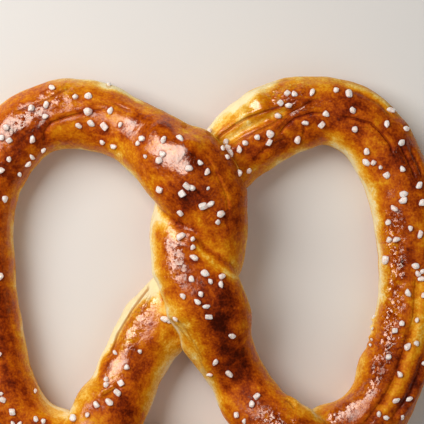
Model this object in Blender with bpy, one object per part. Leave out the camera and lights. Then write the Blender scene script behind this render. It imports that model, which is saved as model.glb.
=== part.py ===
"""A soft pretzel: one rope of dough, looped and twisted on itself and baked in one piece, with coarse salt.

It lies flat as it left the baking tray. X runs across the two lobes, Y from the belly up to the lobes, Z up.
The origin is under the middle of the loaf, on the face that it rests on. Run it in Blender 4.5.
"""

import math
import random

import bmesh
import bpy
from mathutils import Matrix, Vector
from mathutils.bvhtree import BVHTree

MM = 0.001

# Driving dimensions, in millimetres.
RING_SPACING = 4.2  # along the rope
RING_SIDES = 20  # round the rope
TIP_RINGS = 4  # that round off each end of the rope
TIP_TURN = math.radians(82)  # how far round its quarter circle the last tip ring stands
BASE_FULLNESS = 1.12  # depth of the rope's lower half as a share of its upper half's
TRAY_SIDE = 300.0  # of the block that trims the underside flat
TRAY_DEPTH = 30.0
GRAIN_LENGTH = (2.2, 2.9)  # least and most
GRAIN_WIDTH = (1.8, 2.3)
GRAIN_HEIGHT = (1.5, 2.0)
GRAIN_UNEVENNESS = 0.2  # how far a corner strays from a square block
GRAIN_BEVEL = 0.25  # of its worn edges
GRAIN_GAP = 0.3  # between a grain and the crust
EYE = (5.2, 28.5, 481.0)  # the point above the pretzel that the grains are thrown from
EYE_PLANE = 10.0  # height at which the places in SALT are measured
GRAIN_SEED = 7

# The dough rope, from one end to the other, in millimetres: x, y, height of its centre line,
# half of its width, and the depth of its upper half.
ROPE = (
    (-35.8, -50.8, 18.3, 10.7, 6.6),  # left end, pressed onto the belly
    (-32.2, -44.2, 17.4, 12.0, 7.6),
    (-28.8, -37.5, 13.6, 12.0, 8.8),
    (-24.8, -30.5, 10.0, 11.3, 9.3),
    (-21.8, -22.8, 8.8, 10.4, 9.3),
    (-17.5, -14.5, 8.5, 11.0, 9.3),
    (-12.2, -8.2, 8.2, 11.8, 9.1),
    (-4.5, -0.8, 8.0, 11.4, 9.0),  # under the second crossing
    (3.6, 7.2, 9.5, 9.6, 10.0),
    (7.8, 15.8, 13.5, 9.0, 11.0),  # right side of the twist
    (6.5, 26.0, 18.5, 10.7, 10.5),
    (2.2, 35.5, 21.3, 13.7, 9.4),  # over the first crossing
    (-5.5, 44.2, 20.3, 14.3, 9.6),
    (-15.5, 51.7, 15.5, 11.7, 9.8),
    (-24.2, 56.7, 11.3, 10.8, 9.6),
    (-32.2, 60.2, 9.2, 11.5, 9.8),
    (-40.0, 61.0, 8.8, 11.8, 9.8),  # left lobe
    (-48.0, 60.5, 8.8, 11.7, 9.7),
    (-55.0, 58.0, 8.7, 11.5, 9.6),
    (-61.2, 52.5, 8.7, 11.2, 9.6),
    (-66.0, 45.0, 8.7, 11.0, 9.6),
    (-70.0, 36.0, 8.7, 11.0, 9.6),
    (-72.0, 26.0, 8.7, 11.0, 9.6),
    (-72.4, 16.0, 8.7, 11.0, 9.6),  # left arm
    (-71.5, 4.0, 8.7, 11.0, 9.6),
    (-70.0, -6.0, 8.7, 11.0, 9.7),
    (-68.0, -16.5, 8.8, 11.2, 9.8),
    (-65.5, -28.0, 9.0, 11.4, 10.0),
    (-59.2, -39.8, 9.2, 11.8, 10.2),
    (-48.0, -49.0, 9.4, 12.5, 10.5),
    (-34.0, -56.0, 9.6, 12.8, 10.7),
    (-18.0, -60.0, 9.8, 13.0, 10.9),
    (-1.5, -61.0, 9.8, 13.2, 11.0),  # belly
    (15.0, -60.0, 9.8, 13.2, 10.9),
    (31.0, -56.0, 9.6, 13.0, 10.7),
    (46.0, -49.0, 9.4, 12.5, 10.5),
    (56.8, -40.2, 9.2, 12.2, 10.2),
    (63.6, -28.5, 9.0, 12.0, 10.0),
    (67.8, -18.0, 8.8, 11.5, 9.8),
    (71.0, -6.0, 8.7, 11.3, 9.7),
    (72.0, 6.0, 8.7, 11.3, 9.6),  # right arm
    (71.0, 21.0, 8.7, 11.3, 9.6),
    (68.5, 35.0, 8.7, 11.3, 9.6),
    (64.5, 44.5, 8.7, 11.2, 9.6),
    (60.0, 52.5, 8.7, 11.2, 9.6),
    (54.0, 58.5, 8.8, 11.3, 9.7),
    (46.8, 62.0, 8.8, 11.2, 9.8),  # right lobe
    (37.8, 62.6, 8.8, 11.3, 9.8),
    (28.2, 60.4, 8.7, 12.5, 9.7),
    (19.8, 55.2, 8.6, 12.7, 9.6),
    (12.8, 49.0, 8.4, 12.4, 9.4),
    (5.0, 43.0, 8.0, 11.3, 9.0),  # under the first crossing
    (-1.5, 36.0, 8.4, 10.3, 9.2),
    (-5.2, 28.2, 10.2, 9.3, 10.0),
    (-6.4, 19.8, 14.0, 9.0, 11.0),  # left side of the twist
    (-3.8, 11.2, 18.5, 10.7, 10.3),
    (1.5, 2.8, 20.8, 12.7, 9.4),  # over the second crossing
    (5.2, -5.8, 18.4, 12.2, 9.6),
    (7.0, -13.4, 14.8, 11.2, 9.6),
    (10.2, -20.2, 11.8, 10.0, 9.4),
    (14.5, -27.8, 10.4, 9.7, 9.2),
    (18.4, -34.7, 12.4, 10.3, 8.8),
    (24.8, -40.9, 16.0, 10.3, 7.8),
    (32.0, -45.5, 18.0, 10.0, 7.0),
    (38.5, -48.5, 18.0, 8.5, 6.2),  # right end, pressed onto the belly
)

# Where the largest salt grains lie, by the stretch of rope that carries them, in millimetres: x, y.
# Salt is scattered by hand, so the places follow no rule.
SALT = {
    "left_lobe": (
        (-62.7, 56.3), (-54.5, 62.5), (-50.1, 60.3), (-40.2, 66.2), (-35.8, 66.5), (-28.5, 61.5),
        (-34.6, 58.4), (-24.7, 57.2), (-54.8, 52.9),
    ),
    "left_arm": (
        (-62.6, 46.3), (-64.6, 33.2), (-72.5, 25.0), (-70.0, 9.0), (-69.5, -7.0), (-66.5, -19.0),
        (-61.3, -38.0),
    ),
    "upper_crossing": (
        (-17.5, 52.5), (-10.8, 51.9), (-11.0, 47.7), (-5.3, 52.6), (-2.4, 43.0), (3.3, 41.5),
        (-4.3, 34.7), (4.7, 31.3), (7.9, 28.4),
    ),
    "lower_crossing": ((2.7, 7.9), (7.8, 6.7), (-1.6, 6.1), (1.5, 1.3), (3.0, -2.5), (-4.1, 0.7)),
    "right_lobe": (
        (20.3, 53.6), (30.6, 64.1), (38.4, 67.7), (43.1, 61.3), (50.4, 67.0), (52.0, 62.2),
        (52.9, 56.3), (63.0, 57.5), (67.6, 51.4),
    ),
    "right_arm": (
        (63.6, 40.8), (73.4, 37.2), (68.9, 32.4), (64.6, 25.2), (72.7, 10.7), (70.8, 1.6),
        (68.7, -8.6), (70.0, -16.2), (66.0, -33.9),
    ),
    "left_end": ((-23.2, -23.3), (-25.1, -28.7), (-29.2, -35.3)),
    "right_end": ((11.3, -12.3), (10.8, -24.8), (18.7, -35.7)),
    "belly": ((-43.0, -52.0), (-15.0, -61.0), (12.0, -60.5), (42.0, -51.5)),
}


def clear_scene():
    for obj in list(bpy.data.objects):
        bpy.data.objects.remove(obj)


def make_material(name, color, roughness):
    material = bpy.data.materials.new(name)
    material.use_nodes = True
    shader = material.node_tree.nodes["Principled BSDF"]
    shader.inputs["Base Color"].default_value = (*color, 1.0)
    shader.inputs["Roughness"].default_value = roughness
    shader.inputs["Metallic"].default_value = 0.0
    return material


def on_curve(stations, index, t):
    """The station t of the way from one station to the next, on a Catmull-Rom curve."""
    last = len(stations) - 1
    p0, p1, p2, p3 = (stations[min(max(index + k, 0), last)] for k in (-1, 0, 1, 2))
    return [
        0.5 * (2 * b + (c - a) * t + (2 * a - 5 * b + 4 * c - d) * t**2 + (3 * b - a - 3 * c + d) * t**3)
        for a, b, c, d in zip(p0, p1, p2, p3)
    ]


def spaced_stations(stations, spacing):
    """Stations at even steps along the curve through the given ones."""
    fine = [on_curve(stations, i, k / 20) for i in range(len(stations) - 1) for k in range(20)]
    fine.append(list(stations[-1]))
    run = [0.0]
    for a, b in zip(fine, fine[1:]):
        run.append(run[-1] + (Vector(b[:3]) - Vector(a[:3])).length)
    count = round(run[-1] / spacing)
    picked, j = [], 0
    for k in range(count + 1):
        at = run[-1] * k / count
        while j < len(run) - 2 and run[j + 1] < at:
            j += 1
        share = (at - run[j]) / (run[j + 1] - run[j])
        picked.append([a + (b - a) * share for a, b in zip(fine[j], fine[j + 1])])
    return picked


def with_round_tips(stations, rings):
    """Adds shrinking stations past both ends, so that each end closes as half an ellipsoid."""

    def tip(end, inner):
        outward = (Vector(end[:3]) - Vector(inner[:3])).normalized()
        made = []
        for k in range(1, rings + 1):
            angle = TIP_TURN * k / rings
            place = Vector(end[:3]) + outward * end[3] * math.sin(angle)
            made.append([*place, end[3] * math.cos(angle), end[4] * math.cos(angle)])
        return made

    return tip(stations[0], stations[1])[::-1] + stations + tip(stations[-1], stations[-2])


def rope_mesh(stations):
    """A closed tube through the stations, with an oval section that is a little fuller below."""
    bm = bmesh.new()
    rings = []
    last = len(stations) - 1
    for i, (x, y, z, half_width, depth) in enumerate(stations):
        centre = Vector((x, y, z))
        along = Vector(stations[min(i + 1, last)][:3]) - Vector(stations[max(i - 1, 0)][:3])
        side = along.cross(Vector((0, 0, 1))).normalized()
        up = side.cross(along).normalized()
        ring = []
        for k in range(RING_SIDES):
            angle = 2 * math.pi * (k + 0.5) / RING_SIDES
            rise = depth * math.sin(angle) * (BASE_FULLNESS if math.sin(angle) < 0 else 1)
            ring.append(bm.verts.new((centre + side * half_width * math.cos(angle) + up * rise) * MM))
        rings.append(ring)
    for a, b in zip(rings, rings[1:]):
        for k in range(RING_SIDES):
            n = (k + 1) % RING_SIDES
            bm.faces.new((a[k], a[n], b[n], b[k]))
    bm.faces.new(rings[0][::-1])
    bm.faces.new(rings[-1])
    bmesh.ops.recalc_face_normals(bm, faces=bm.faces)
    mesh = bpy.data.meshes.new("dough")
    bm.to_mesh(mesh)
    bm.free()
    return mesh


def tray_cutter():
    """A block with its top at the height of the tray, which trims the underside flat."""
    bpy.ops.mesh.primitive_cube_add(size=1, location=(0, 0, -TRAY_DEPTH / 2 * MM))
    cutter = bpy.context.object
    cutter.name = "tray_cutter"
    cutter.scale = (TRAY_SIDE * MM, TRAY_SIDE * MM, TRAY_DEPTH * MM)
    bpy.ops.object.transform_apply(location=False, rotation=False, scale=True)
    cutter.hide_render = True
    cutter.display_type = "WIRE"
    return cutter


def make_dough(material):
    """The whole loaf. The Boolean trims its base and fuses the rope where it crosses itself."""
    stations = with_round_tips(spaced_stations(ROPE, RING_SPACING), TIP_RINGS)
    dough = bpy.data.objects.new("pretzel_dough", rope_mesh(stations))
    bpy.context.collection.objects.link(dough)
    dough.data.materials.append(material)
    trim = dough.modifiers.new("flat_base", "BOOLEAN")
    trim.operation = "DIFFERENCE"
    trim.object = tray_cutter()
    trim.use_self = True
    dough.data.shade_smooth()
    return dough


def grain_mesh(rng):
    """A coarse crystal: a block with uneven corners and worn edges."""
    size = [rng.uniform(*limits) for limits in (GRAIN_LENGTH, GRAIN_WIDTH, GRAIN_HEIGHT)]
    bm = bmesh.new()
    bmesh.ops.create_cube(bm, size=1)
    for corner in bm.verts:
        stray = (rng.uniform(-GRAIN_UNEVENNESS, GRAIN_UNEVENNESS) for _ in size)
        corner.co = Vector([side * c + d for side, c, d in zip(size, corner.co, stray)]) * MM
    bmesh.ops.bevel(bm, geom=bm.edges[:], offset=GRAIN_BEVEL * MM, segments=1, affect="EDGES")
    mesh = bpy.data.meshes.new("salt_grain")
    bm.to_mesh(mesh)
    bm.free()
    return mesh


def scatter_salt(dough, material):
    """Lays each grain on the crust, square to it, with its base just clear of the surface."""
    crust = BVHTree.FromObject(dough, bpy.context.evaluated_depsgraph_get())
    rng = random.Random(GRAIN_SEED)
    for stretch, places in SALT.items():
        for number, (x, y) in enumerate(places, 1):
            aim = Vector((x, y, EYE_PLANE)) - Vector(EYE)
            foot, normal, _, _ = crust.ray_cast(Vector(EYE) * MM, aim.normalized())
            mesh = grain_mesh(rng)
            mesh.materials.append(material)
            grain = bpy.data.objects.new(f"salt_{stretch}_{number}", mesh)
            bpy.context.collection.objects.link(grain)
            lift = GRAIN_GAP * MM - min(v.co.z for v in mesh.vertices)
            spin = Matrix.Rotation(rng.uniform(0, math.pi), 4, "Z")
            lean = normal.to_track_quat("Z", "Y").to_matrix().to_4x4()
            grain.matrix_world = Matrix.Translation(foot + normal * lift) @ lean @ spin


clear_scene()
baked_crust = make_material("baked_crust", (0.42, 0.16, 0.03), 0.35)
coarse_salt = make_material("coarse_salt", (0.86, 0.82, 0.76), 0.3)
pretzel = make_dough(baked_crust)
scatter_salt(pretzel, coarse_salt)
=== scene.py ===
import math
import random

import bpy
import numpy as np
from mathutils import Matrix, Vector, noise
from mathutils.bvhtree import BVHTree


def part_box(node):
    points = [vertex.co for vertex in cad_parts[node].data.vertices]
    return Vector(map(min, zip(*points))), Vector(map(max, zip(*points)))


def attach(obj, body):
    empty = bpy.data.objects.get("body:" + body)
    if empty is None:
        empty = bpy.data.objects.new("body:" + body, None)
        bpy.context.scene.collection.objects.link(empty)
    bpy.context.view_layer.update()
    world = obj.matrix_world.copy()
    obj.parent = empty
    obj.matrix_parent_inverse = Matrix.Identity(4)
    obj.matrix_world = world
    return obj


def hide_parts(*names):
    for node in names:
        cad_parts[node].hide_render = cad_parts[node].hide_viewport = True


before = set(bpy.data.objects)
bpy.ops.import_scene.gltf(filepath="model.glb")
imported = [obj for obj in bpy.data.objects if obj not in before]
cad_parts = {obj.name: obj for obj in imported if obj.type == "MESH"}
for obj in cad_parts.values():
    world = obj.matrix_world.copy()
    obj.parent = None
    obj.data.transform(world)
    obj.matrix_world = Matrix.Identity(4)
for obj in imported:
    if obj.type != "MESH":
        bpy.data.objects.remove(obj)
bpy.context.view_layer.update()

mm = 0.001
farAway = 9.0  # more than any distance on the loaf


def selectOnly(piece):
    if bpy.context.object and bpy.context.object.mode != "OBJECT":
        bpy.ops.object.mode_set(mode="OBJECT")
    bpy.ops.object.select_all(action="DESELECT")
    piece.select_set(True)
    bpy.context.view_layer.objects.active = piece


def meshPoints(piece, what="co"):
    points = np.zeros(len(piece.data.vertices) * 3)
    piece.data.vertices.foreach_get(what, points)
    return points.reshape(-1, 3)


def movePoints(piece, points):
    piece.data.vertices.foreach_set("co", points.ravel())
    piece.data.update()


def smoothStep(low, high, x):
    t = np.clip((x - low) / (high - low), 0, 1)
    return t * t * (3 - 2 * t)


def fromScreen(*colour):  # a colour as a screen shows it, 0 to 255, made linear
    return tuple(((c / 255 + 0.055) / 1.055) ** 2.4 if c > 10 else c / 255 / 12.92 for c in colour)


class Value:  # a socket that takes part in sums
    def __init__(self, sheet, socket):
        self.sheet = sheet
        self.socket = socket

    def __add__(self, other):
        return self.sheet.math("ADD", self, other)

    def __radd__(self, other):
        return self.sheet.math("ADD", other, self)

    def __sub__(self, other):
        return self.sheet.math("SUBTRACT", self, other)

    def __rsub__(self, other):
        return self.sheet.math("SUBTRACT", other, self)

    def __mul__(self, other):
        return self.sheet.math("MULTIPLY", self, other)

    def __rmul__(self, other):
        return self.sheet.math("MULTIPLY", other, self)


class Sheet:  # the nodes of one material
    def __init__(self, name):
        self.material = bpy.data.materials.new(name)
        self.material.use_nodes = True
        self.tree = self.material.node_tree
        self.tree.nodes.clear()

    def node(self, kind, settings=None, output=0, **inputs):
        made = self.tree.nodes.new(kind)
        for key, value in (settings or {}).items():
            if key == "stops":
                self.setStops(made.color_ramp, value)
            else:
                setattr(made, key, value)
        for key, value in inputs.items():  # i0, i1 ... are sockets by number, the rest by name
            socket = made.inputs[int(key[1:]) if key[1:].isdigit() else key.replace("_", " ")]
            if isinstance(value, Value):
                self.tree.links.new(value.socket, socket)
            elif value is not None:
                socket.default_value = value
        return Value(self, made.outputs[output]) if made.outputs else None

    def setStops(self, ramp, stops):
        while len(ramp.elements) < len(stops):
            ramp.elements.new(0.5)
        for element, (place, colour) in zip(ramp.elements, stops):
            element.position = place
            element.color = (*colour, 1)

    def math(self, operation, a, b=None):
        return self.node("ShaderNodeMath", {"operation": operation}, i0=a, i1=b)

    def greatest(self, first, *others):
        for other in others:
            first = self.math("MAXIMUM", first, other)
        return first

    def clamped(self, value):
        return self.node("ShaderNodeClamp", Value=value)

    def step(self, value, low, high, first=0.0, last=1.0):
        settings = {"interpolation_type": "SMOOTHSTEP"}
        return self.node("ShaderNodeMapRange", settings, i0=value, i1=low, i2=high, i3=first, i4=last)

    def mixColour(self, share, first, second, blend="MIX"):
        settings = {"data_type": "RGBA", "blend_type": blend}
        return self.node("ShaderNodeMix", settings, output=2, i0=share, i6=first, i7=second)

    def vector(self, operation, a, b, c=None, output=0):
        return self.node("ShaderNodeVectorMath", {"operation": operation}, output, i0=a, i1=b, i2=c)

    def attribute(self, name):
        return self.node("ShaderNodeAttribute", {"attribute_name": name}, output=2)

    def noise(self, where, scale, detail=2.0, roughness=0.5, distortion=0.0):
        return self.node(
            "ShaderNodeTexNoise",
            Vector=where,
            Scale=scale,
            Detail=detail,
            Roughness=roughness,
            Distortion=distortion,
        )

    def finish(self, shader):
        self.node("ShaderNodeOutputMaterial", Surface=shader)
        return self.material


studio = dict(
    lens=120.0,
    sensor=36.0,
    view=141.33 * mm,  # width that the camera takes in, at the height of the rope's middle
    centre=(5.17 * mm, 28.5 * mm),
    ropeMiddle=10 * mm,
    nearClip=0.01,
    keyFrom=(-0.30, 0.22, 0.42),
    keySize=0.38,
    keyPower=3.0,
    fillFrom=(0.30, -0.20, 0.50),
    fillSize=0.5,
    fillPower=0.6,
    lightColour=(1.0, 0.96, 0.91),
    skyColour=(1.0, 0.97, 0.93, 1),
    skyPower=0.13,
    floorSize=2.0,
    floorColour=(0.8, 0.79, 0.78, 1),
    floorRoughness=0.8,
)


def cameraDistance():
    return studio["view"] * studio["lens"] / studio["sensor"]


def addCamera():
    height = studio["ropeMiddle"] + cameraDistance()
    bpy.ops.object.camera_add(location=(*studio["centre"], height), rotation=(0, 0, 0))
    camera = bpy.context.object
    camera.name = "camera"
    camera.data.lens = studio["lens"]
    camera.data.sensor_width = studio["sensor"]
    camera.data.clip_start = studio["nearClip"]
    bpy.context.scene.camera = camera


def addLight(name, place, size, power):
    bpy.ops.object.light_add(type="AREA", location=place)
    light = bpy.context.object
    light.name = name
    light.data.shape = "SQUARE"
    light.data.size = size
    light.data.energy = power
    light.data.color = studio["lightColour"]
    light.rotation_euler = Vector(place).to_track_quat("Z", "Y").to_euler()
    return light


def addSky():
    world = bpy.data.worlds.new("softRoom")
    bpy.context.scene.world = world
    world.use_nodes = True
    background = world.node_tree.nodes["Background"]
    background.inputs["Color"].default_value = studio["skyColour"]
    background.inputs["Strength"].default_value = studio["skyPower"]
    world.cycles_visibility.glossy = False


def addFloor():
    bpy.ops.mesh.primitive_plane_add(size=studio["floorSize"], location=(0, 0, 0))
    floor = bpy.context.object
    floor.name = "paleFloor"
    sheet = Sheet("paleFloor")
    shader = sheet.node(
        "ShaderNodeBsdfPrincipled", Base_Color=studio["floorColour"], Roughness=studio["floorRoughness"]
    )
    floor.data.materials.append(sheet.finish(shader))


def buildStudio():
    addCamera()
    addLight("keyLight", studio["keyFrom"], studio["keySize"], studio["keyPower"])
    fill = addLight("fillLight", studio["fillFrom"], studio["fillSize"], studio["fillPower"])
    fill.visible_glossy = False  # only the key light shows in the glaze
    addSky()
    addFloor()
    bpy.context.scene.view_settings.view_transform = "Standard"
    print("studio: camera straight above, soft key from the upper left, pale floor")


# The rope from end to end, in mm: x, y, height of its middle, half of its width, depth above its middle.
ropeStations = (
    (-35.8, -50.8, 18.3, 10.7, 6.6), (-32.2, -44.2, 17.4, 12.0, 7.6), (-28.8, -37.5, 13.6, 12.0, 8.8),
    (-24.8, -30.5, 10.0, 11.3, 9.3), (-21.8, -22.8, 8.8, 10.4, 9.3), (-17.5, -14.5, 8.5, 11.0, 9.3),
    (-12.2, -8.2, 8.2, 11.8, 9.1), (-4.5, -0.8, 8.0, 11.4, 9.0), (3.6, 7.2, 9.5, 9.6, 10.0),
    (7.8, 15.8, 13.5, 9.0, 11.0), (6.5, 26.0, 18.5, 10.7, 10.5), (2.2, 35.5, 21.3, 13.7, 9.4),
    (-5.5, 44.2, 20.3, 14.3, 9.6), (-15.5, 51.7, 15.5, 11.7, 9.8), (-24.2, 56.7, 11.3, 10.8, 9.6),
    (-32.2, 60.2, 9.2, 11.5, 9.8), (-40.0, 61.3, 8.8, 12.0, 9.8), (-48.0, 60.8, 8.8, 11.9, 9.7),
    (-55.0, 58.0, 8.7, 11.5, 9.6), (-61.2, 52.5, 8.7, 11.2, 9.6), (-66.0, 45.0, 8.7, 11.0, 9.6),
    (-70.0, 36.0, 8.7, 11.0, 9.6), (-72.0, 26.0, 8.7, 11.0, 9.6), (-72.4, 16.0, 8.7, 11.0, 9.6),
    (-71.5, 4.0, 8.7, 11.0, 9.6), (-70.0, -6.0, 8.7, 11.0, 9.7), (-68.0, -16.5, 8.8, 11.2, 9.8),
    (-65.5, -28.0, 9.0, 11.4, 10.0), (-59.2, -39.8, 9.2, 11.8, 10.2), (-48.0, -49.0, 9.4, 12.5, 10.5),
    (-34.0, -56.0, 9.6, 12.8, 10.7), (-18.0, -60.0, 9.8, 13.0, 10.9), (-1.5, -61.0, 9.8, 13.2, 11.0),
    (15.0, -60.0, 9.8, 13.2, 10.9), (31.0, -56.0, 9.6, 13.0, 10.7), (46.0, -49.0, 9.4, 12.5, 10.5),
    (56.8, -40.2, 9.2, 12.2, 10.2), (63.6, -28.5, 9.0, 12.0, 10.0), (67.8, -18.0, 8.8, 11.5, 9.8),
    (71.0, -6.0, 8.7, 11.3, 9.7), (72.0, 6.0, 8.7, 11.3, 9.6), (71.0, 21.0, 8.7, 11.3, 9.6),
    (68.5, 35.0, 8.7, 11.3, 9.6), (64.5, 44.5, 8.7, 11.2, 9.6), (60.0, 52.5, 8.7, 11.2, 9.6),
    (54.0, 58.5, 8.8, 11.3, 9.7), (46.8, 62.0, 8.8, 11.2, 9.8), (37.8, 62.6, 8.8, 11.3, 9.8),
    (28.2, 60.4, 8.7, 12.5, 9.7), (19.8, 55.2, 8.6, 12.7, 9.6), (12.8, 49.0, 8.4, 12.4, 9.4),
    (5.0, 43.0, 8.0, 11.3, 9.0), (-1.5, 36.0, 8.4, 10.3, 9.2), (-5.2, 28.2, 10.2, 9.3, 10.0),
    (-6.4, 19.8, 14.0, 9.0, 11.0), (-3.8, 11.2, 18.5, 10.7, 10.3), (1.5, 2.8, 20.8, 12.7, 9.4),
    (5.2, -5.8, 18.4, 12.2, 9.6), (7.0, -13.4, 14.8, 11.2, 9.6), (10.2, -20.2, 11.8, 10.0, 9.4),
    (14.5, -27.8, 10.4, 9.7, 9.2), (18.4, -34.7, 12.4, 10.3, 8.8), (24.8, -40.9, 16.0, 10.3, 7.8),
    (32.0, -45.5, 18.0, 10.0, 7.0), (38.5, -48.5, 18.0, 8.5, 6.2),
)
dough = dict(
    ringsPerStation=6,
    sectionCorners=10,  # bevel resolution: 24 sides round the rope
    tipTurn=math.radians(80),
    tipRings=3,
    baseFullness=1.12,  # how much fuller the lower half of the rope is
    firstVoxel=1.1 * mm,
    voxel=0.8 * mm,
    smoothing=4,
    smoothingShare=0.5,
    seamFill=0.4 * mm,  # how much dough swells into every seam between strands
    seamReach=2.2 * mm,
    # Where the twist has grown together: x, y, reach and how much more it swells, in mm.
    # At the first one no seam is left.
    knots=((-2.5, 18.6, 4.0, 3.0), (-10, 25, 5, 0.6), (7, 11, 5, 0.9)),
    ownStretch=40 * mm,  # along the rope, within which two points belong to the same stretch
    pointsAtOnce=4000,
)


def roundTip(end, inner):  # smaller and smaller stations past an end of the rope
    out = np.subtract(end[:3], inner[:3])
    out = out / np.linalg.norm(out)
    tip = []
    for ring in range(1, dough["tipRings"] + 1):
        turn = dough["tipTurn"] * ring / dough["tipRings"]
        place = end[:3] + out * end[3] * math.sin(turn)
        tip.append((*place, end[3] * math.cos(turn), end[4] * math.cos(turn)))
    return tip


def layRope():
    first = roundTip(ropeStations[0], ropeStations[1])[::-1]
    last = roundTip(ropeStations[-1], ropeStations[-2])
    stations = np.array(first + list(ropeStations) + last) * mm
    bpy.ops.curve.primitive_bezier_curve_add()
    rope = bpy.context.object
    rope.name = "doughRope"
    rope.location = (0, 0, 0)
    rope.data.dimensions = "3D"
    rope.data.twist_mode = "Z_UP"
    rope.data.resolution_u = dough["ringsPerStation"]
    rope.data.bevel_depth = 1.0
    rope.data.bevel_resolution = dough["sectionCorners"]
    rope.data.use_fill_caps = True
    spline = rope.data.splines[0]
    spline.radius_interpolation = "CARDINAL"
    spline.bezier_points.add(len(stations) - 2)
    for point, station in zip(spline.bezier_points, stations):
        point.co = station[:3]
        point.handle_left_type = "AUTO"
        point.handle_right_type = "AUTO"
        point.radius = station[3]
    selectOnly(rope)
    bpy.ops.object.convert(target="MESH")
    return rope, stations


def shapeSections(rope, stations):  # rings as deep as the stations say, flat where they meet the tray
    sides = 4 + 2 * dough["sectionCorners"]
    points = meshPoints(rope)
    rings = points[: len(points) // sides * sides].reshape(-1, sides, 3)
    middle = rings.mean(1)
    along = np.gradient(middle, axis=0)
    along /= np.linalg.norm(along, axis=1, keepdims=True)
    side = np.cross(along, (0, 0, 1))
    side /= np.linalg.norm(side, axis=1, keepdims=True)
    up = np.cross(side, along)
    where = np.arange(len(rings)) / dough["ringsPerStation"]
    width = np.interp(where, np.arange(len(stations)), stations[:, 3])
    depth = np.interp(where, np.arange(len(stations)), stations[:, 4])
    offset = rings - middle[:, None]
    across = (offset * side[:, None]).sum(2)
    rise = (offset * up[:, None]).sum(2) * (depth / width)[:, None]
    rise = np.where(rise < 0, rise * dough["baseFullness"], rise)
    shaped = middle[:, None] + across[..., None] * side[:, None] + rise[..., None] * up[:, None]
    shaped[..., 2] = np.maximum(shaped[..., 2], 0)
    points[: shaped.size // 3] = shaped.reshape(-1, 3)
    movePoints(rope, points)
    run = np.concatenate([[0], np.cumsum(np.linalg.norm(np.diff(middle, axis=0), axis=1))])
    return dict(middle=middle, along=along, side=side, up=up, width=width, depth=depth, run=run)


def ropeCoordinates(points, path):  # along and across the own strand, and how near another strand is
    found = {name: np.zeros(len(points)) for name in ("along", "across", "gap", "under")}
    for first in range(0, len(points), dough["pointsAtOnce"]):
        chunk = slice(first, first + dough["pointsAtOnce"])
        offset = points[chunk, None] - path["middle"][None]
        a = (offset * path["along"]).sum(2)
        b = (offset * path["side"]).sum(2) / path["width"]
        c = (offset * path["up"]).sum(2) / path["depth"]
        reach = np.sqrt(b * b + c * c + (a / path["width"]) ** 2)
        own = reach.argmin(1)
        rows = np.arange(len(own))
        found["along"][chunk] = path["run"][own] + a[rows, own]
        found["across"][chunk] = b[rows, own]
        reach[np.abs(path["run"][None] - path["run"][own][:, None]) < dough["ownStretch"]] = farAway
        other = reach.argmin(1)
        found["gap"][chunk] = (reach[rows, other] - 1) * path["depth"][other]
        found["under"][chunk] = path["middle"][other, 2] - path["middle"][own, 2]
    return found


def seenPlace(points):  # where each point shows from the camera, at the height of the rope's middle
    high = cameraDistance()
    centre = np.array(studio["centre"])
    spread = high / (high - (points[:, 2] - studio["ropeMiddle"]))
    return centre + (points[:, :2] - centre) * spread[:, None]


def spot(points, x, y, reach):  # 1 at a place seen from above, and less and less away from it
    far = np.linalg.norm(seenPlace(points) - np.array((x, y)) * mm, axis=1)
    return np.exp(-((far / (reach * mm)) ** 2))


def fuse(piece, voxel):
    selectOnly(piece)
    piece.data.remesh_voxel_size = voxel
    bpy.ops.object.voxel_remesh()


def buildDough():
    rope, stations = layRope()
    path = shapeSections(rope, stations)
    print("dough: rope laid,", len(path["run"]), "rings,", round(path["run"][-1] / mm), "mm long")
    fuse(rope, dough["firstVoxel"])
    points = meshPoints(rope)
    inSeam = np.exp(-((ropeCoordinates(points, path)["gap"] / dough["seamReach"]) ** 2))
    grown = sum(swell * mm * spot(points, x, y, reach) for x, y, reach, swell in dough["knots"])
    points += meshPoints(rope, "normal") * (inSeam * (dough["seamFill"] + grown))[:, None]
    points[:, 2] = np.maximum(points[:, 2], 0)
    movePoints(rope, points)
    fuse(rope, dough["voxel"])
    settle = rope.modifiers.new("settle", "SMOOTH")
    settle.factor = dough["smoothingShare"]
    settle.iterations = dough["smoothing"]
    bpy.ops.object.modifier_apply(modifier="settle")
    rope.name = "bakedDough"
    print("dough: fused,", len(rope.data.polygons), "faces")
    return rope, path


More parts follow.
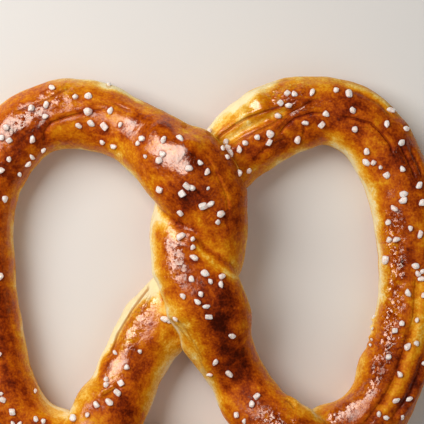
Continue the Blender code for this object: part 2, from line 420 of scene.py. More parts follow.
# Marks that proving and baking left on the crust, seen from above.
# Each has its strength, its reach in mm and the points of its path in mm.
# Brown marks are baked more than the crust round them, but two brown strokes are painted shade on the inner
# flank of the right lobe; amber and cream are baked less, and a shine below 0 is dull.
marks = dict(
    brownAndShade=(
        (0.24, 3.4, ((-52, 57), (-51, 54))), (0.06, 5, ((-60, 50), (-62, 44))),
        (0.12, 3, ((-37, 55), (-33, 56))), (0.12, 4, ((0, 44), (4, 36))),
        (0.16, 3.5, ((-2, 34), (3, 29))), (0.10, 4, ((12, 36), (13, 24))), (0.14, 6, ((4, 4), (9, -5))),
        (0.22, 5, ((8, -9), (11, -19))), (0.16, 4, ((12, -20), (18, -32))),
        (0.10, 5, ((-55, 22), (-60, 4))), (0.16, 4, ((-19, -26), (-20, -36), (-20, -42))),
        (0.10, 3, ((-24, -37),)), (0.15, 3, ((63.5, -19), (60, -27))),
        (0.14, 4, ((-63, -14), (-61, -30))), (0.12, 5, ((-68, 20), (-66, -6))),
        # painted shade on the inner flank of the right lobe
        (0.08, 3.5, ((34, 56), (47, 57))), (0.08, 3, ((38, 53), (46, 54), (52, 49))),
        (0.14, 3.5, ((20, 47), (30, 51))), (0.10, 4, ((65, 58), (67, 48))),
        (0.12, 3, ((52, 64), (58, 61))), (0.14, 2.5, ((63, 26), (62, 21))),
        (0.18, 2.2, ((75, -22), (72, -31), (67, -38))),
        (0.16, 1.3, ((70.6, -12), (68.6, -19), (64.1, -30.5), (59, -38))), (0.10, 3, ((-8, 3), (-2, -3))),
    ),
    amber=(
        (0.25, 3.5, ((-46, 71), (-30, 70.5))), (0.23, 3.4, ((-48, 54), (-43, 57), (-38, 54))),
        (0.14, 4, ((-36, 60), (-26, 60))), (0.13, 4, ((-24, 49), (-18, 44), (-15, 37))),
        (0.18, 3, ((3, 50), (-4, 56))), (0.14, 4, ((2, 24), (9, 20))),
        (0.34, 3.0, ((-12.5, 5), (-15, 12), (-15, 24))), (0.20, 3, ((6, 15), (11, 12))),
        (0.30, 3.6, ((-14, 2), (-11.5, -4), (-9.5, -8))),
        (0.34, 3.2, ((-8, -16), (-13, -25), (-17, -36))), (0.30, 4, ((-35, -30), (-42, -38), (-34, -41))),
        (0.20, 3.5, ((22, 70), (32, 71), (42, 72))),
        (0.32, 3, ((47, 53), (53, 46), (58, 34), (61, 20), (61.5, 0))),
        (0.34, 3, ((60, -8), (57.5, -19), (53.5, -27), (47, -34.5), (41, -37))),
        (0.13, 3, ((74, 24), (74.5, 8))),
        (0.34, 3.2, ((75.5, 3), (75, -6), (72.4, -18), (69, -27), (63, -37))),
        (0.18, 2, ((-62, 26), (-60.5, 4))), (0.16, 2, ((-59, -10), (-54, -25))),
        (0.25, 3.4, ((-51, -36), (-45, -40))), (0.16, 3, ((34, -38),)),
        (0.22, 3, ((16, 60), (22, 64), (27, 66))), (0.22, 1.2, ((69, -12.6), (68.8, -14.6))),
        (0.20, 3.4, ((-16.5, 0), (-20.5, -8), (-24, -16))), (0.12, 4, ((-12, -12), (-15, -18))),
        (0.20, 3, ((-25.5, -23), (-30, -29))), (0.22, 2.5, ((18, 42), (26, 46), (34, 50))),
        (0.32, 2.8, ((-8, -3), (0, -18), (5, -29), (7, -35))), (0.12, 4, ((47, 52), (52, 47))),
    ),
    cream=(
        (0.50, 1.8, ((-13.5, 6), (-19, 1), (-24, -5.5), (-27.5, -12))),
        (0.4, 1.2, ((-28.5, -14), (-31.5, -20), (-34, -25.5))), (0.18, 2.4, ((-13, 4), (-14.5, 1))),
        (0.40, 1.8, ((-14.2, 29), (-10.2, 24), (-6.5, 20))),
        (0.40, 1.1, ((12.3, 6.5), (8, 10.2), (4, 13.3), (0, 16.4))),
        (0.42, 4.0, ((3.5, 56.5), (9.5, 61), (17, 67))), (0.22, 2.6, ((12, 64), (18, 68.5), (24, 71.5))),
        (0.26, 2.0, ((6, 52), (9, 49))),
        (0.50, 1.1, ((9.5, 52.2), (15, 55.8), (20, 58.3), (25, 60.5), (29, 62))),
        (0.27, 1.0, ((-32, 70.6), (-27, 69.6), (-22, 67.4), (-18.5, 65.6))),
        (0.40, 0.8, ((50, 71.2), (56, 69), (61, 66), (65, 62))),
        (0.15, 1.6, ((55.5, -20.5), (55, -25), (53, -28.5))),
        (0.12, 0.7, ((-13.2, 6), (-10.2, -2.8), (-7.8, -7.8), (-4.2, -15), (5, -28))),
    ),
    blister=(
        (1.0, 3.4, ((65.5, 26), (66.6, 14), (66.6, 3), (65.4, -6), (63.6, -17), (60.5, -26))),
        (0.5, 3.5, ((27, 67), (36, 68))), (0.6, 3.6, ((-58, 60), (-50, 65), (-43, 68))),
        (0.45, 3.5, ((-7, 18), (-5.5, 8))), (0.55, 3.6, ((-16, -2), (-20.5, -8), (-22.5, -14))),
        (0.6, 3, ((57, -29), (46, -39))), (0.9, 3, ((27, 67.3), (33, 68.5))),
        (0.7, 3, ((24, -40), (32, -42))), (0.3, 4, ((-62, 52), (-64, 44))),
        (0.5, 2.5, ((-29, -28), (-32, -33))), (0.25, 6, ((-2, 38), (4, 30))),
    ),
    shine=(
        (1.0, 6.5, ((-9, 48), (-4.5, 45))), (0.9, 4, ((-22, 58.5), (-15, 55.5))),
        (0.9, 4.5, ((-64, 55), (-56, 61), (-48, 66), (-43, 69))), (0.8, 4, ((-8, 20), (-7.5, 8))),
        (1.0, 3.8, ((-16.5, 0), (-20, -8), (-23, -15))), (0.8, 3, ((-27, -22), (-30, -28))),
        (1.0, 3.5, ((18, 62), (26, 66))), (0.8, 3.5, ((64, 24), (65, 0), (62, -20))),
        (1.0, 3, ((58.5, -28), (50, -37), (43, -42))), (0.8, 3.5, ((24, -40), (32, -42))),
        (0.4, 2, ((13, 54), (22, 60))), (0.8, 2, ((31, 63), (39, 64.5))),
        (-0.5, 3.5, ((75, 4), (74, -12), (70, -26), (63, -38))), (-0.5, 3, ((-33, -39), (-28, -40))),
        (-0.3, 4, ((6, -14), (16, -32))), (-0.2, 5, ((50, 52), (58, 38))),
    ),
)
# Creases and pleats, in mm: width, depth, lip on the left of the path, how dark the painted shade in its
# line is, the path.
pleats = (
    (0.8, 0.5, 0.25, 0.7, ((-50.4, 51), (-50.6, 55.5), (-48.5, 58.2), (-42.5, 60.4), (-34.8, 62.2),
        (-28.5, 63.2))),
    (0.8, 0.5, -0.2, 0.8, ((-61.5, 61.6), (-55.2, 64.2), (-50.2, 66.2), (-45.2, 68.8), (-41, 70.6))),
    (0.6, 0.35, 0.2, 0.3, ((-36, 64.5), (-28, 65), (-21, 62))),
    (1.4, 1.3, 0.3, 0.0, ((2, 45.5), (9.7, 52.2), (15, 55.4), (20, 57.9), (25, 60.1), (29.5, 61.8),
        (36, 64))),
    (0.6, 0.4, 0.4, 0.9, ((2, 48), (8.2, 54.3), (13, 57.6), (18, 60), (24, 62.2), (29.5, 64.2),
        (34, 65.4))),
    (0.6, 0.35, 0.15, 0.55, ((3, 43), (10.6, 49.6), (14.5, 52.6), (20, 55.2), (25, 57.6), (29, 60),
        (33, 62.2), (38.5, 65.4), (45, 67.6))),
    (0.5, 0.3, 0.3, 0.6, ((-3, 37.4), (0, 35.6), (2.4, 33.4), (6.4, 31.6))),
    (0.5, 0.25, 0.2, 0.5, ((-6, 36), (-3.4, 35), (-1, 32.6), (1.6, 31.6))),
    (0.5, 0.2, 0.2, 0.35, ((3, 47), (7, 41), (10, 34), (11, 26))),
    (0.6, 0.5, -0.3, 0.95, ((27.5, 54), (29.4, 56.6), (32.8, 59.6), (36, 60.7), (39.1, 61.5),
        (45.5, 61.4))),
    (0.5, 0.5, 0.35, 1.0, ((47, 60.6), (53.5, 59.4), (58.2, 58), (61.3, 55.2), (64.5, 51.2),
        (65.6, 47.6))),
    (0.6, 0.4, 0.3, 0.8, ((67.6, 51.5), (69.2, 48.4), (71.6, 43.9), (73.4, 39.2))),
    (0.6, 0.4, 0.3, 0.6, ((71, 50), (73.4, 45.4), (75.4, 40.6))),
    (0.7, 0.5, 0.0, 0.4, ((16, 68.6), (24, 72.2), (33, 73.6))),
    (0.7, 0.4, 0.3, 0.4, ((49.5, 70.2), (55.6, 68.0), (61, 64.6), (66, 59.6))),
    (0.8, 0.6, -0.9, 0.4, ((73.4, 10), (73, 4), (72.6, -2.3), (72.3, -6.8), (70.8, -11.6), (68.6, -19),
        (66.7, -24.5), (64.1, -30.5), (61.9, -34.2), (56.7, -41.2), (52, -46))),
    (0.9, 0.7, 0.7, 0.5, ((75.5, -19), (74.4, -25), (72, -31), (68.8, -36), (65, -41))),
    (0.8, 0.8, -0.5, 1.0, ((-15.5, 4.4), (-17.4, 2.2), (-21.8, -4.4), (-24.8, -8.7), (-27, -13),
        (-28.6, -17.4), (-30, -20.5))),
    (0.6, 0.35, 0.0, 0.6, ((-15.2, 1.2), (-17, -3), (-19, -6))),
    (0.7, 0.8, 0.6, 0.8, ((-32, -33.2), (-29, -31.6), (-25.6, -29.8))),
    (0.6, 0.4, 0.3, 0.35, ((-9.4, -5.6), (-5.5, -10.5), (-2, -15.5), (1.5, -22), (4.5, -29))),
    (0.6, 0.3, 0.2, 0.4, ((-6.8, -6), (-3.5, -10.8), (0, -16.5), (3, -22.5))),
    (0.5, 0.4, 0.2, 0.5, ((35.6, 53.6), (36, 56), (35.7, 58.4))),
    (0.5, 0.3, 0.2, 0.4, ((20, 47.6), (26, 51.4), (30, 53))),
    (0.6, 0.4, 0.4, 0.5, ((29.6, -34), (31.2, -35), (33, -37.5))),
    (0.5, 0.35, 0.6, 0.5, ((69.8, -15.4), (70.2, -13.4), (69.2, -12), (67.8, -12.2), (67.2, -13.6))),
)
crust = dict(
    lumps=(14 * mm, 0.5 * mm),  # size and height
    dimples=(5 * mm, 0.28 * mm),
    wrinkles=(1.7 * mm, 0.28 * mm),
    plainWrinkles=0.2,  # share of the wrinkles where the crust isn't blistered
    # Where the rope is fuller or thinner than its run: x, y, reach and lift in mm.
    swells=(
        (37.5, 49.5, 4, 2.0), (32, 47, 4, 0.6), (44, 50, 3, 0.5), (52.5, -28.5, 5, -2.2),
        (48.5, -32.5, 4, -1.0), (57.5, -15.5, 4, -0.8), (-47, -36.5, 4, -1.0), (-50, -33.5, 4, -0.8),
        (39, -36.5, 3.5, 1.4), (-2, 57.5, 4, -1.5), (-7, 60, 5, -0.9), (70, 57.5, 4, 0.9),
        (20, 40.5, 3, -0.8), (-9.5, -24.5, 5, 1.1), (-5, -18.5, 3, 0.7), (16, 17, 5, -0.9),
        (18, -4.8, 5, 1.0), (19, -14, 4, 0.6), (-54, 70, 6, -0.9), (21.5, 70, 6, -0.9),
        (-15, 8, 3.5, 1.0), (-60, 11, 7, 0.7), (17, 36, 3, 0.6), (-34, 48.5, 4, 0.6),
        (-21, -5.5, 3.5, 0.8), (-25, -12, 3.5, 0.7), (-13, -14, 5, 1.1), (-9, -7, 4, 0.7),
        (20.5, 66, 3.5, 1.8), (-1.5, 43, 5, 1.0), (-35, -27, 3, -0.6), (-31.5, -21, 4, 0.4),
        (33.5, -34.3, 3, 0.6), (-2, 50.5, 4, 1.0), (50.5, -34.5, 3, 0.9), (45, -38, 3, 0.8),
        (15.5, 62, 3, 0.9), (34.5, 66.5, 5, 1.0),
    ),
    trayFade=(0.5 * mm, 4 * mm),  # heights between which the unevenness comes in
    crumbs=((58.9, -7.2), (58.0, -9.8), (57.8, -13.3), (57.2, -15.6), (51, 30), (-29.5, -36.5)),
    crumbReach=0.8 * mm,
    crumbHeight=0.9 * mm,
    seamPinch=0.6 * mm,
    pinchReach=0.9 * mm,
    upperSide=(-0.1, 0.25),  # marks are only where the crust faces up at least this much
    pleatTaper=0.12,  # share of a pleat's path over which each end runs out
    lipPlace=1.7,  # how far from the crease its lip is, in widths of the crease
    lipSpread=1.6,
    lineReach=2.2 * mm,
    lineWhole=0.6,  # share of that reach in which the line is at its darkest
    noLine=5.0,  # distance to a line where there is none, in mm
    strandReach=80 * mm,  # along the rope, beyond which a strand can't be the one that a mark is on
    strandFade=(20 * mm, 12 * mm),
)


def alongPath(flat, path):  # distance from each point to a path, its side, and how far along the path it is
    path = np.array(path, float) * mm
    best = np.full(len(flat), farAway)
    side = np.zeros(len(flat))
    share = np.full(len(flat), 0.5)
    if len(path) == 1:
        return np.linalg.norm(flat - path[0], axis=1), side, share
    for number, (a, b) in enumerate(zip(path, path[1:])):
        ahead = b - a
        t = np.clip(((flat - a) @ ahead) / (ahead @ ahead), 0, 1)
        off = flat - a - t[:, None] * ahead
        far = np.linalg.norm(off, axis=1)
        closer = far < best
        best[closer] = far[closer]
        side[closer] = np.sign(ahead[0] * off[closer, 1] - ahead[1] * off[closer, 0])
        share[closer] = (number + t[closer]) / (len(path) - 1)
    return best, side, share


def ownStrand(rope, along, bend):  # 1 on the stretch of rope that a mark is on, 0 on one that crosses it
    def nearest(point, allowed):
        far = np.linalg.norm(rope["middle"][:, :2] - np.array(point) * mm, axis=1)
        return rope["run"][np.where(allowed, far, farAway).argmin()]

    last = nearest(bend[-1], True)
    runs = [nearest(point, np.abs(rope["run"] - last) < crust["strandReach"]) for point in bend]
    return smoothStep(*crust["strandFade"], np.maximum(min(runs) - along, along - max(runs)))


def noiseAt(points, size, seed=0.0):
    shift = Vector((seed, seed * 1.7, seed * 0.3))
    return np.array([noise.noise(Vector(p) + shift) for p in points / size])


def surveyCrust(loaf, path):  # what the marks need to know of each point, before any mark is made
    points = meshPoints(loaf)
    survey = ropeCoordinates(points, path)
    survey["points"] = points
    survey["normals"] = meshPoints(loaf, "normal")
    survey["upward"] = smoothStep(*crust["upperSide"], survey["normals"][:, 2])
    survey["flat"] = seenPlace(points)
    survey["grown"] = spot(points, *dough["knots"][0][:3])
    for kind in marks:
        total = np.zeros(len(points))
        for strength, radius, bend in marks[kind]:
            far = alongPath(survey["flat"], bend)[0]
            own = ownStrand(path, survey["along"], bend)
            total += strength * np.exp(-((far / (radius * mm)) ** 2)) * own
        survey[kind] = total * survey["upward"]
    survey["blister"] = np.clip(survey["blister"], 0, 1)
    return survey


def unevenness(survey):
    points = survey["points"]
    lift = crust["lumps"][1] * noiseAt(points, crust["lumps"][0])
    lift += crust["dimples"][1] * noiseAt(points, crust["dimples"][0], 5.0)
    wrinkled = crust["wrinkles"][1] * (crust["plainWrinkles"] + survey["blister"])
    lift += wrinkled * noiseAt(points, crust["wrinkles"][0], 9.0)
    for x, y, reach, height in crust["swells"]:
        lift += height * mm * spot(points, x, y, reach)
    lift *= smoothStep(*crust["trayFade"], points[:, 2])
    pinch = crust["seamPinch"] * np.exp(-((survey["gap"] / crust["pinchReach"]) ** 2))
    return lift - pinch * (1 - survey["grown"])


def carveCrust(loaf, survey, path):
    points = survey["points"]
    flat = survey["flat"]
    lift = unevenness(survey)
    line = np.full(len(points), crust["noLine"])
    lineStrength = np.zeros(len(points))
    for width, depth, lip, dark, bend in pleats:
        far, side, share = alongPath(flat, bend)
        taper = smoothStep(0, crust["pleatTaper"], np.minimum(share, 1 - share))
        taper = taper * survey["upward"] * ownStrand(path, survey["along"], bend)
        off = far * side / (width * mm)
        lift -= depth * mm * taper * np.exp(-(off**2))
        lift += lip * mm * taper * np.exp(-((off - crust["lipPlace"]) ** 2) / crust["lipSpread"])
        # the line carries painted shade along the crease
        inLine = 1 - smoothStep(crust["lineWhole"] * crust["lineReach"], crust["lineReach"], far)
        here = dark * taper * inLine
        stronger = here > lineStrength
        line[stronger] = (far * side)[stronger] / mm
        lineStrength = np.maximum(lineStrength, here)
    for x, y in crust["crumbs"]:
        far = np.linalg.norm(flat - np.array((x, y)) * mm, axis=1)
        lift += crust["crumbHeight"] * np.exp(-((far / crust["crumbReach"]) ** 2))
    points += survey["normals"] * lift[:, None]
    points[:, 2] = np.maximum(points[:, 2], 0)
    movePoints(loaf, points)
    survey["line"] = line
    survey["lineStrength"] = lineStrength
    print("crust: pleats and wrinkles carved")


# How far each spot is baked, with painted shade by crossings and seams and a painted bright rim mixed in: 0
# is pale dough, 1 is nearly burnt.
# What a face looks towards goes from -1, straight down, to 1, straight up.
baking = dict(
    flank=0.36,
    top=0.235,  # how much more the top is baked
    topFacing=(0.2, 0.95),
    rim=0.21,  # how much paler the foot of the flanks is, in patches: partly less-baked dough, partly a painted bright rim
    rimFacing=(0.42, 0.08),
    rimUnder=(-0.5, 0),
    rimUnderShare=0.35,
    rimPatches=11 * mm,
    rimEven=0.8,
    rimUneven=1.2,
    rimMost=1.3,
    underside=0.42,
    undersideFacing=-0.75,
    crossingReach=1.5 * mm,
    crossingStep=3 * mm,
    upperStrandShade=0.10,  # how much darker the strand on top is, by a crossing: painted shade where its skin rolls under
    lowerStrand=0.20,  # how much less the one under it is
    # painted shade at the bottom of each seam between strands
    seamShade=0.22,
    seamReach=0.6 * mm,
    blur=2,  # times that each colour is averaged with its neighbours, so that it doesn't step
)


def bakeLevel(survey):
    facing = survey["normals"][:, 2]
    gap = survey["gap"]
    under = smoothStep(*baking["rimUnder"], facing)
    # the pale rim is partly less-baked dough and partly a painted bright rim of reflected light at the
    # silhouettes
    rim = smoothStep(*baking["rimFacing"], facing)
    rim = rim * (baking["rimUnderShare"] + (1 - baking["rimUnderShare"]) * under)
    patches = noiseAt(survey["points"], baking["rimPatches"], 3.0)
    rim *= np.clip(baking["rimEven"] + baking["rimUneven"] * patches, 0, baking["rimMost"])
    bake = baking["flank"] + baking["top"] * smoothStep(*baking["topFacing"], facing) - baking["rim"] * rim
    bake = np.where(facing < baking["undersideFacing"], baking["underside"], bake)
    bake += survey["brownAndShade"] - survey["amber"] - survey["cream"]
    near = np.exp(-np.maximum(gap, 0) / baking["crossingReach"])
    lower = smoothStep(-baking["crossingStep"], baking["crossingStep"], survey["under"])
    # painted shade darkens the upper strand beside a crossing, and the lower strand is paler because it is
    # less baked
    bake += near * (baking["upperStrandShade"] * (1 - lower) - baking["lowerStrand"] * lower)
    # painted shade at the bottom of each seam
    bake += baking["seamShade"] * np.exp(-((gap / baking["seamReach"]) ** 2)) * (1 - survey["grown"])
    return bake


def averaged(values, edges):
    total = values.copy()
    count = np.ones(len(values))
    for here, there in ((0, 1), (1, 0)):
        np.add.at(total, edges[:, here], values[edges[:, there]])
        np.add.at(count, edges[:, here], 1)
    return total / count


def bakeCrust(loaf, survey, path):
    layers = dict(
        bake=bakeLevel(survey),
        blister=survey["blister"],
        shine=np.clip(survey["shine"], -0.6, 1),
        crease=survey["gap"] / mm,
        line=survey["line"],
        lineStrength=survey["lineStrength"],
        across=survey["across"],
        along=survey["along"],
    )
    # distance to the nearest grain, for the ring of painted contact shadow and duller glaze round it
    fromGrain = np.full(len(survey["points"]), farAway)
    for x, y, size in saltPlaces(path):
        far = np.linalg.norm(survey["flat"] - np.array((x, y)), axis=1) / (size * mm)
        fromGrain = np.minimum(fromGrain, far)
    layers["fromGrain"] = fromGrain + farAway * (1 - survey["upward"])
    edges = np.zeros(len(loaf.data.edges) * 2, int)
    loaf.data.edges.foreach_get("vertices", edges)
    edges = edges.reshape(-1, 2)
    for name in ("bake", "blister", "shine"):
        for turn in range(baking["blur"]):
            layers[name] = averaged(layers[name], edges)
    for name, values in layers.items():
        layer = loaf.data.attributes.new(name, "FLOAT", "POINT")
        layer.data.foreach_set("value", values)
    print("crust: baked")


crustLook = dict(
    stops=(  # bake, and the colour at it
        (0.00, (255, 240, 188)), (0.12, (251, 206, 96)), (0.25, (232, 158, 22)), (0.40, (214, 120, 4)),
        (0.56, (188, 84, 2)), (0.72, (144, 50, 2)), (0.86, (102, 29, 2)), (1.00, (68, 17, 2)),
    ),
    blotch=(95, 0.66),  # scale, and how much it changes the bake
    mottle=(300, 0.74),
    speck=(1400, 0.48),
    streak=0.36,
    streakRun=45,  # scale of the streaks along the rope and across it
    streakAcross=6,
    paleDough=(-0.1, 0.5, 0.35, 1.0),  # below which bake the crust is more even, and how much
    creaseTint=(0.5, 0.24, 0.07, 1),
    creaseDark=0.85,
    creaseWidth=(0.12, 0.55),  # in mm
    creaseDepth=0.7,
    seamDark=0.55,
    seamWidth=(0.15, 1.0),
    moistShadowRing=(1.15, 1.85),  # in grains' sizes
    moistShadowDark=0.5,
    flakes=1000,
    flakeDrift=700.0,
    flakeWarp=0.7 * mm,
    flakeLean=1350,
    flakeTone=(0.24, 0.02),
    flakeCrack=0.1,
    crackle=640,
    crackleWidth=0.045,
    crackleDark=0.1,
    crackDark=0.5,
    crackleHeight=0.22,
    swell=(380, 0.5, 0.4),  # scale, height, and how much higher on a blister
    grit=(1900, 0.03),
    bumpHeight=0.6 * mm,
    bumpStrength=0.85,
    gloss=0.2,
    glossShine=0.9,
    glossMottle=1.4,
    glossBlotch=0.7,
    glossCrease=0.5,
    mattRoughness=(0.6, 0.4),
    mattSpecular=0.12,
    glazeRoughness=(0.14, 0.02),
    glazeIor=1.6,
    glint=(1.0, 0.88, 0.77, 1),
    coat=(0.25, 0.4),
    coatRoughness=0.08,
)


def flakesOf(sheet, where):  # loose flakes of crust: how each one leans, its tone and its cracked edge
    look = crustLook
    middle = (0.5, 0.5, 0.5)
    drift = sheet.node("ShaderNodeTexNoise", output=1, Vector=where, Scale=look["flakeDrift"], Detail=1.0)
    warped = sheet.vector("MULTIPLY_ADD", drift, (look["flakeWarp"],) * 3, where)
    flakes = sheet.node("ShaderNodeTexVoronoi", output=2, Vector=warped, Scale=look["flakes"])
    tint = Value(sheet, flakes.socket.node.outputs["Color"])
    fromMiddle = sheet.vector("SUBTRACT", warped, flakes)
    lean = sheet.vector("DOT_PRODUCT", fromMiddle, sheet.vector("SUBTRACT", tint, middle), output=1)
    edge = sheet.node(
        "ShaderNodeTexVoronoi", {"feature": "DISTANCE_TO_EDGE"}, Vector=warped, Scale=look["flakes"]
    )
    crack = 1 - sheet.step(edge, 0.0, look["flakeCrack"])
    tone = sheet.node("ShaderNodeSeparateColor", i0=tint) - 0.5
    return lean, tone, crack


def crustMaterial():
    look = crustLook
    sheet = Sheet("bakedCrust")
    where = sheet.node("ShaderNodeTexCoord", output=3)
    bake, blister, shine, crease, line, lineStrength, fromGrain = (
        sheet.attribute(name)
        for name in ("bake", "blister", "shine", "crease", "line", "lineStrength", "fromGrain")
    )
    lean, tone, crack = flakesOf(sheet, where)

    # The colour goes by the bake, made uneven.
    run = sheet.node(
        "ShaderNodeCombineXYZ",
        X=sheet.attribute("along") * look["streakRun"],
        Y=sheet.attribute("across") * look["streakAcross"],
    )
    blotch = sheet.noise(where, look["blotch"][0], detail=3) - 0.5
    mottle = sheet.noise(where, look["mottle"][0], detail=4, roughness=0.56) - 0.5
    speck = sheet.noise(where, look["speck"][0], detail=2) - 0.5
    streak = sheet.noise(run, 1.0, detail=4, roughness=0.6) - 0.5
    uneven = blotch * look["blotch"][1] + mottle * look["mottle"][1] + speck * look["speck"][1]
    level = bake + (uneven + streak * look["streak"]) * sheet.step(bake, *look["paleDough"])
    level = level + blister * (tone * look["flakeTone"][0] + look["flakeTone"][1])
    stops = tuple((place, fromScreen(*colour)) for place, colour in look["stops"])
    colour = sheet.node("ShaderNodeValToRGB", {"stops": stops}, i0=level)

    # Lines, seams, cracks and the ring round each grain are darker and duller: along lines and seams the
    # darkening is painted shade, and round a grain it is partly a moist dent in the glaze and partly
    # painted contact shadow.
    crackle = sheet.math("ABSOLUTE", sheet.noise(where, look["crackle"], 3, 0.6, 0.8) - 0.5)
    vein = (1 - sheet.step(crackle, 0.0, look["crackleWidth"])) * look["crackleDark"] + crack * blister
    thin = (1 - sheet.step(sheet.math("ABSOLUTE", line), *look["creaseWidth"])) * lineStrength
    seamShade = (1 - sheet.step(crease, *look["seamWidth"])) * look["seamDark"]
    # painted contact shadow and a duller, moist glaze in a ring round each grain
    moistAndShadow = (1 - sheet.step(fromGrain, *look["moistShadowRing"])) * look["moistShadowDark"]
    shade = sheet.greatest(thin * look["creaseDark"], seamShade, vein * look["crackDark"], moistAndShadow)
    colour = sheet.mixColour(shade, colour, look["creaseTint"], "MULTIPLY")

    swell = sheet.noise(where, look["swell"][0], detail=3)
    grit = sheet.noise(where, look["grit"][0], detail=2)
    height = crackle * look["crackleHeight"] + lean * blister * look["flakeLean"]
    height = height + swell * (look["swell"][1] + blister * look["swell"][2]) + grit * look["grit"][1]
    height = height - thin * look["creaseDepth"]
    bump = sheet.node(
        "ShaderNodeBump", Height=height, Distance=look["bumpHeight"], Strength=look["bumpStrength"]
    )

    # A thin glaze lies over the matt crust, and it is patchy.
    glazed = look["gloss"] + shine * look["glossShine"] + mottle * look["glossMottle"]
    glazed = glazed + blotch * look["glossBlotch"] - thin * look["glossCrease"] - seamShade - moistAndShadow
    matt = sheet.node(
        "ShaderNodeBsdfPrincipled",
        Base_Color=colour,
        Roughness=look["mattRoughness"][0] + mottle * look["mattRoughness"][1],
        Normal=bump,
        Specular_IOR_Level=look["mattSpecular"],
    )
    glaze = sheet.node(
        "ShaderNodeBsdfPrincipled",
        Base_Color=colour,
        Roughness=look["glazeRoughness"][0] - blister * look["glazeRoughness"][1],
        Normal=bump,
        IOR=look["glazeIor"],
        Specular_IOR_Level=1.0,
        Specular_Tint=look["glint"],
        Coat_Weight=sheet.clamped(look["coat"][0] - blister * look["coat"][1]),
        Coat_Roughness=look["coatRoughness"],
    )
    shader = sheet.node("ShaderNodeMixShader", i0=sheet.clamped(glazed), i1=matt, i2=glaze)
    return sheet.finish(shader)


# Grains besides the ones in the frame: x, y in mm, and size against the usual.
moreSalt = (
    (-50.0, 64.0, 1.0), (-48.2, 69.9, 0.9), (-36.3, 62.3, 1.3), (-39.2, 57.3, 1.0), (-30.5, 57.2, 1.1),
    (-65.0, 53.3, 1.0), (-62.3, 52.3, 0.9), (-51.2, 49.2, 0.8), (-54.9, 46.9, 0.9), (-56.3, 44.5, 0.9),
    (-65.3, 42.5, 1.0), (-59.0, 41.0, 0.8), (-31.3, 51.8, 0.9), (-27.6, 50.5, 0.9), (-29.2, 70.8, 0.7),
    (-19.5, 51.3, 0.9), (-17.0, 47.0, 0.7), (-12.5, 45.6, 1.1), (1.2, 44.9, 0.8), (-3.2, 37.4, 0.9),
    (-1.2, 36.8, 1.0), (-12.1, 36.0, 1.0), (2.3, 30.5, 1.1), (-5.2, 28.3, 1.0), (7.0, 25.2, 0.9),
    (3.9, 36.3, 0.5), (-3.8, 58.5, 0.7), (9.9, 51.8, 1.0), (8.6, 49.8, 0.8), (10.3, 50.0, 0.9),
    (11.3, 48.0, 1.0), (10.1, 46.8, 0.8), (14.2, 49.3, 1.0), (16.2, 51.6, 1.0), (14.1, 41.5, 1.1),
    (17.2, 42.4, 0.9), (4.5, 55.3, 0.9), (24.5, 54.5, 1.2), (24.2, 51.6, 0.8), (33.5, 52.8, 1.1),
    (27.8, 64.9, 1.0), (30.4, 67.9, 1.0), (32.8, 67.5, 1.0), (27.2, 60.2, 1.1), (36.3, 58.3, 0.9),
    (41.8, 57.8, 1.0), (46.5, 69.0, 0.9), (64.8, 62.3, 1.1), (69.6, 56.2, 1.0), (56.8, 48.7, 1.1),
    (56.7, 45.2, 1.0), (59.1, 45.0, 0.9), (61.3, 43.4, 0.7), (68.6, 42.8, 0.9), (69.0, 34.5, 1.0),
    (75.0, 31.5, 1.1), (66.0, 29.8, 1.0), (71.2, 23.0, 1.0), (74.5, 21.0, 1.0), (64.4, 19.3, 0.9),
    (66.7, 19.3, 1.0), (63.3, 12.6, 1.1), (73.7, 8.0, 0.9), (75.5, 8.7, 0.9), (74.9, 6.3, 0.9),
    (75.8, 0.8, 0.9), (73.7, -7.5, 0.9), (66.2, -11.1, 0.9), (73.3, -15.3, 1.0), (64.1, -19.9, 0.9),
    (68.0, -25.8, 1.0), (71.0, -33.9, 0.9), (60.9, -38.9, 0.9), (63.0, -39.9, 0.8), (68.6, -40.0, 0.6),
    (75.8, -22, 0.8), (-5.2, 20.5, 1.2), (-1.3, 19.5, 0.9), (-1.3, 16.8, 0.9), (-0.9, 13.0, 1.0),
    (4.6, 5.2, 0.8), (8.0, 4.4, 0.9), (0.3, -1.5, 0.9), (4.0, -6.3, 0.9), (-10.7, -7.1, 1.0),
    (-9.2, -7.6, 0.8), (-7.0, -6.9, 0.8), (6.4, -21.5, 1.0), (4.5, -25.5, 0.8), (20.0, -33.1, 0.8),
    (13.5, -39.0, 1.0), (16.0, -41.2, 0.8), (-18.9, -18.0, 0.8), (-27.0, -18.5, 0.9), (-30.0, -27.3, 0.8),
    (-30.0, -29.2, 0.9), (-26.3, -31.8, 1.0), (-33.5, -35.8, 0.9), (-36.5, -39.2, 0.9),
    (-40.8, -40.2, 1.1), (-53.8, -31.2, 0.6), (-65.2, -32.0, 0.7), (-64.5, -34.2, 0.8),
    (-53.6, -40.5, 0.8), (-51.0, -41.3, 0.8), (-61.2, -41.9, 0.7), (-59.0, -42.0, 0.7), (59.2, -6.6, 0.6),
    (58.7, -10.4, 0.6), (58.4, -14.0, 0.5), (57.9, -15.8, 0.5),
)
salt = dict(
    size=(2.2 * mm, 2.1 * mm, 1.7 * mm),
    sink=0.35 * mm,
    spread=((0.85, 1.4), (0.75, 1.05), (0.75, 1.1)),  # of a grain's three measures
    tilt=0.6,
    masters=12,
    blockEvery=6,  # one master in so many is cut from a block, and the rest from a ball
    blockSize=0.92,
    ballRadius=0.56,
    roughen=0.3 * mm,
    roughenEvenly=0.8,
    cornerCut=0.5 * mm,
    edgeCut=0.14 * mm,
    seed=11,
    unseen=60,  # grains tried on the parts of the rope outside the camera's view
    unseenAcross=0.65,
    unseenSize=(0.8, 1.15),
)


def fitGrain(grain, scale):
    grain.scale = scale
    bpy.ops.object.transform_apply(location=False, rotation=False, scale=True)


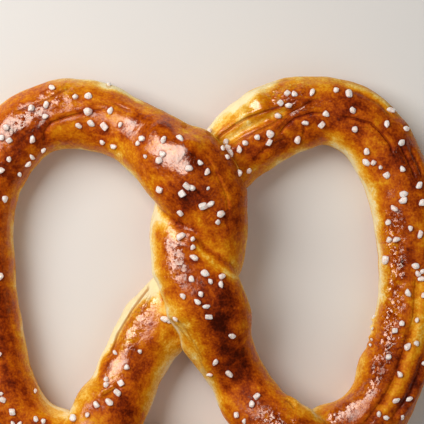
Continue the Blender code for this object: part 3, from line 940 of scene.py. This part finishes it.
def carveGrain(number):
    block = number % salt["blockEvery"] == 0
    if block:
        bpy.ops.mesh.primitive_cube_add(size=salt["blockSize"], location=(0, 0, 0))
    else:
        bpy.ops.mesh.primitive_ico_sphere_add(subdivisions=1, radius=salt["ballRadius"], location=(0, 0, 0))
    grain = bpy.context.object
    fitGrain(grain, salt["size"])
    bpy.ops.object.mode_set(mode="EDIT")
    bpy.ops.mesh.select_all(action="SELECT")
    bpy.ops.transform.vertex_random(offset=salt["roughen"], uniform=salt["roughenEvenly"], seed=number)
    if block:
        bpy.ops.mesh.bevel(offset=salt["cornerCut"], segments=1, affect="VERTICES")
    bpy.ops.mesh.convex_hull()
    bpy.ops.mesh.select_all(action="SELECT")
    bpy.ops.mesh.bevel(offset=salt["edgeCut"], segments=1, affect="EDGES")
    bpy.ops.object.mode_set(mode="OBJECT")
    fitGrain(grain, [wanted / made for wanted, made in zip(salt["size"], grain.dimensions)])
    return grain


saltLook = dict(
    clear=(255, 246, 240),
    cloudy=(240, 212, 200),
    cloud=900,
    cloudEdge=(0.3, 0.7),
    pits=1600,
    pitDepth=0.4 * mm,
    pitStrength=0.8,
    roughness=0.3,
    scatter=1.2 * mm,
    scatterTint=(1.0, 0.9, 0.85),
    # painted light: a faint glow that stands in for light passing through the grains
    glow=0.1,
    glowColour=(1.0, 0.86, 0.82, 1),
)


def saltMaterial():
    look = saltLook
    sheet = Sheet("coarseSalt")
    where = sheet.node("ShaderNodeTexCoord", output=3)
    clouded = sheet.step(sheet.noise(where, look["cloud"], detail=3), *look["cloudEdge"])
    clear, cloudy = ((*fromScreen(*look[name]), 1) for name in ("clear", "cloudy"))
    pits = sheet.noise(where, look["pits"], detail=3)
    bump = sheet.node(
        "ShaderNodeBump", Height=pits, Distance=look["pitDepth"], Strength=look["pitStrength"]
    )
    shader = sheet.node(
        "ShaderNodeBsdfPrincipled",
        Base_Color=sheet.mixColour(clouded, clear, cloudy),
        Roughness=look["roughness"],
        Normal=bump,
        Subsurface_Weight=1.0,
        Subsurface_Radius=look["scatterTint"],
        Subsurface_Scale=look["scatter"],
        Emission_Color=look["glowColour"],
        Emission_Strength=look["glow"],
    )
    return sheet.finish(shader)


def saltPlaces(path):  # x, y at the height of the rope's middle, and size
    low, high = (np.array(studio["centre"]) + side * studio["view"] / 2 for side in (-1, 1))

    def unseen(place):
        return (place[:2] < low).any() or (place[:2] > high).any()

    places = []
    for node in sorted(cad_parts):
        if node.startswith("salt_"):
            corners = np.array([list(corner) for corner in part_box(node)])
            places.append((*seenPlace(corners.mean(0)[None])[0], 1.0))
    places += [(x * mm, y * mm, size) for x, y, size in moreSalt]
    rng = random.Random(salt["seed"] + 1)
    outside = [ring for ring, middle in enumerate(path["middle"]) if unseen(middle)]
    for number in range(salt["unseen"]):
        ring = rng.choice(outside)
        across = rng.uniform(-salt["unseenAcross"], salt["unseenAcross"])
        place = path["middle"][ring] + path["side"][ring] * path["width"][ring] * across
        if unseen(place):
            places.append((place[0], place[1], rng.uniform(*salt["unseenSize"])))
    return places


def scatterSalt(loaf, path):
    crustTree = BVHTree.FromObject(loaf, bpy.context.evaluated_depsgraph_get())
    eye = bpy.context.scene.camera.location
    rng = random.Random(salt["seed"])
    masters = [carveGrain(number) for number in range(salt["masters"])]
    laid = []
    for x, y, size in saltPlaces(path):
        aim = Vector((x, y, studio["ropeMiddle"])) - eye
        foot, normal, face, drop = crustTree.ray_cast(eye, aim.normalized())
        if foot is None:
            continue
        grain = bpy.data.objects.new("grain", rng.choice(masters).data.copy())
        bpy.context.collection.objects.link(grain)
        girth = [size * rng.uniform(*spread) for spread in salt["spread"]]
        turn = Matrix.Rotation(rng.uniform(0, 2 * math.pi), 4, "Z")
        turn = turn @ Matrix.Rotation(rng.uniform(-salt["tilt"], salt["tilt"]), 4, "X")
        lean = normal.to_track_quat("Z", "Y").to_matrix().to_4x4()
        lift = salt["size"][2] * girth[2] * 0.5 - salt["sink"]
        settled = Matrix.Translation(foot + normal * lift) @ lean @ turn
        grain.data.transform(settled @ Matrix.Diagonal((*girth, 1)))
        laid.append(grain)
    for master in masters:
        bpy.data.objects.remove(master)
    selectOnly(laid[0])
    for grain in laid:
        grain.select_set(True)
    bpy.ops.object.join()
    pile = bpy.context.object
    pile.name = "coarseSalt"
    print("salt:", len(laid), "grains,", len(pile.data.polygons), "faces")
    return pile


def finishPiece(piece, material, nodes):
    piece.data.materials.clear()
    piece.data.materials.append(material)
    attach(piece, "root")
    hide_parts(*nodes)


buildStudio()
loaf, ropePath = buildDough()
crustSurvey = surveyCrust(loaf, ropePath)
carveCrust(loaf, crustSurvey, ropePath)
bakeCrust(loaf, crustSurvey, ropePath)
selectOnly(loaf)
bpy.ops.object.shade_smooth()
finishPiece(loaf, crustMaterial(), ["pretzel_dough"])
pile = scatterSalt(loaf, ropePath)
bpy.ops.object.shade_smooth_by_angle(angle=math.radians(18))
finishPiece(pile, saltMaterial(), [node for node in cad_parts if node.startswith("salt_")])
